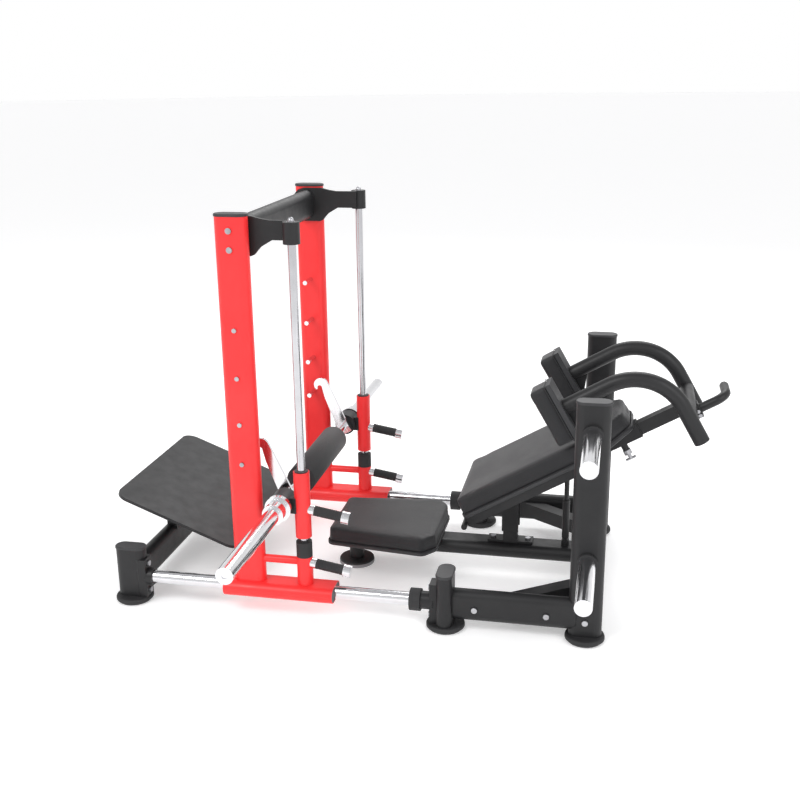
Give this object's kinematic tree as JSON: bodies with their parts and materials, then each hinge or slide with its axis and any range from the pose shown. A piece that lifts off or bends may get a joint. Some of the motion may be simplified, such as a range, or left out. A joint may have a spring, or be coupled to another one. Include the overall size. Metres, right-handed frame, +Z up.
{
  "type": "leg press machine",
  "caption": "Lying leg press machine: red rolling bar carriage on chrome rails, sloping foot plate, bench seat and inclined back rest with shoulder pads.",
  "frame": {"origin": "on the floor, under the middle of the machine's bounding box", "axes": "+X along the rails from the foot plate towards the back rest, +Y across the machine, +Z up"},
  "size_m": [1.9532, 1.814, 1.262],
  "materials": {
    "black_frame": "satin black powder coat",
    "red_frame": "semi-gloss red powder coat",
    "chrome": "polished hard chrome",
    "steel": "zinc plated",
    "upholstery": "matt black synthetic leather over foam",
    "rubber": "matt black",
    "plastic": "matt black",
    "foam": "matt black closed-cell foam"
  },
  "bodies": {
    "base": {"foot_plate": "black_frame", "front_cross_tube": "black_frame", "front_posts": "black_frame", "rail_near": "chrome", "rail_far": "chrome", "rail_sockets": "black_frame", "buffer_rings": "rubber", "mid_posts": "black_frame", "side_beam_near": "black_frame", "side_beam_far": "black_frame", "rear_upright_near": "black_frame", "rear_upright_far": "black_frame", "rear_cross_tube": "black_frame", "diagonal_braces": "black_frame", "centre_beam": "black_frame", "seat_pad": "upholstery", "seat_post": "black_frame", "floor_feet": "rubber", "storage_pegs": "chrome", "post_caps": "plastic", "base_bolts": "steel", "back_support_post": "black_frame"},
    "carriage": {"rail_sleeve_near": "red_frame", "rail_sleeve_far": "red_frame", "rail_bushings": "plastic", "red_upright_near": "red_frame", "red_upright_far": "red_frame", "upright_caps": "plastic", "lower_posts": "red_frame", "post_bumpers": "rubber", "top_bracket_near": "black_frame", "top_bracket_far": "black_frame", "top_cross_tube": "black_frame", "guide_rods": "chrome", "carriage_fasteners": "steel", "rack_pegs": "chrome", "lower_grips": "rubber", "lower_grip_ends": "chrome"},
    "slide": {"slide_tubes": "red_frame", "slide_bushings": "plastic", "upper_grips": "rubber", "upper_grip_ends": "chrome", "bar_housings": "black_frame"},
    "bar": {"bar_shaft": "chrome", "bar_hooks": "chrome"},
    "sleeve_near": {"bar_sleeve_near": "chrome"},
    "sleeve_far": {"bar_sleeve_far": "chrome"},
    "roller": {"foam_roller": "foam"},
    "back": {"back_frame": "black_frame", "back_pad": "upholstery"},
    "strut_barrel": {"strut_body": "black_frame"},
    "strut_shaft": {"strut_rod": "black_frame"},
    "shoulder": {"shoulder_tube": "black_frame", "shoulder_pads": "upholstery", "shoulder_boards": "plastic", "handle_near": "black_frame", "handle_far": "black_frame", "end_handle": "black_frame", "end_handle_bolts": "steel"},
    "pop_pin": {"pop_pin": "steel"}
  },
  "joints": [
    {"name": "carriage_slide", "type": "slide", "parent": "base", "child": "carriage", "axis": [1, 0, 0], "range_m": [-0.2525, 0.2385]},
    {"name": "bar_lift", "type": "slide", "parent": "carriage", "child": "slide", "axis": [0, 0, 1], "range_m": [0, 0.55]},
    {"name": "bar_turn", "type": "hinge", "parent": "slide", "child": "bar", "pos_m": [-0.36488, 0, 0.375], "axis": [0, 1, 0], "range_deg": [0, 38]},
    {"name": "sleeve_near_spin", "type": "hinge", "parent": "bar", "child": "sleeve_near", "pos_m": [-0.36488, -0.67, 0.375], "axis": [0, 1, 0], "continuous": true},
    {"name": "sleeve_far_spin", "type": "hinge", "parent": "bar", "child": "sleeve_far", "pos_m": [-0.36488, 0.67, 0.375], "axis": [0, 1, 0], "continuous": true},
    {"name": "roller_spin", "type": "hinge", "parent": "bar", "child": "roller", "pos_m": [-0.36488, 0, 0.375], "axis": [0, 1, 0], "continuous": true},
    {"name": "back_tilt", "type": "hinge", "parent": "base", "child": "back", "pos_m": [0.30012, 0, 0.269], "axis": [0, -1, 0], "range_deg": [-8, 15]},
    {"name": "strut_swing", "type": "hinge", "parent": "base", "child": "strut_barrel", "pos_m": [0.48212, 0, 0.136], "axis": [0, -1, 0], "range_deg": [-3.7, 6.8]},
    {"name": "strut_extend", "type": "slide", "parent": "strut_barrel", "child": "strut_shaft", "axis": [0, 0, 1], "range_m": [-0.0255, 0.0475]},
    {"name": "shoulder_slide", "type": "slide", "parent": "back", "child": "shoulder", "axis": [0.866, 0, 0.5], "range_m": [-0.14, 0.06]},
    {"name": "pop_pin_pull", "type": "slide", "parent": "back", "child": "pop_pin", "axis": [0.5, 0, -0.866], "range_m": [0, 0.02], "stiffness_N_per_m": 400, "springref_m": -0.01}
  ],
  "couplings": [
    {"joint": "strut_swing", "follows": "back_tilt", "ratio": 0.445},
    {"joint": "strut_extend", "follows": "back_tilt", "m_per_rad": 0.178}
  ]
}
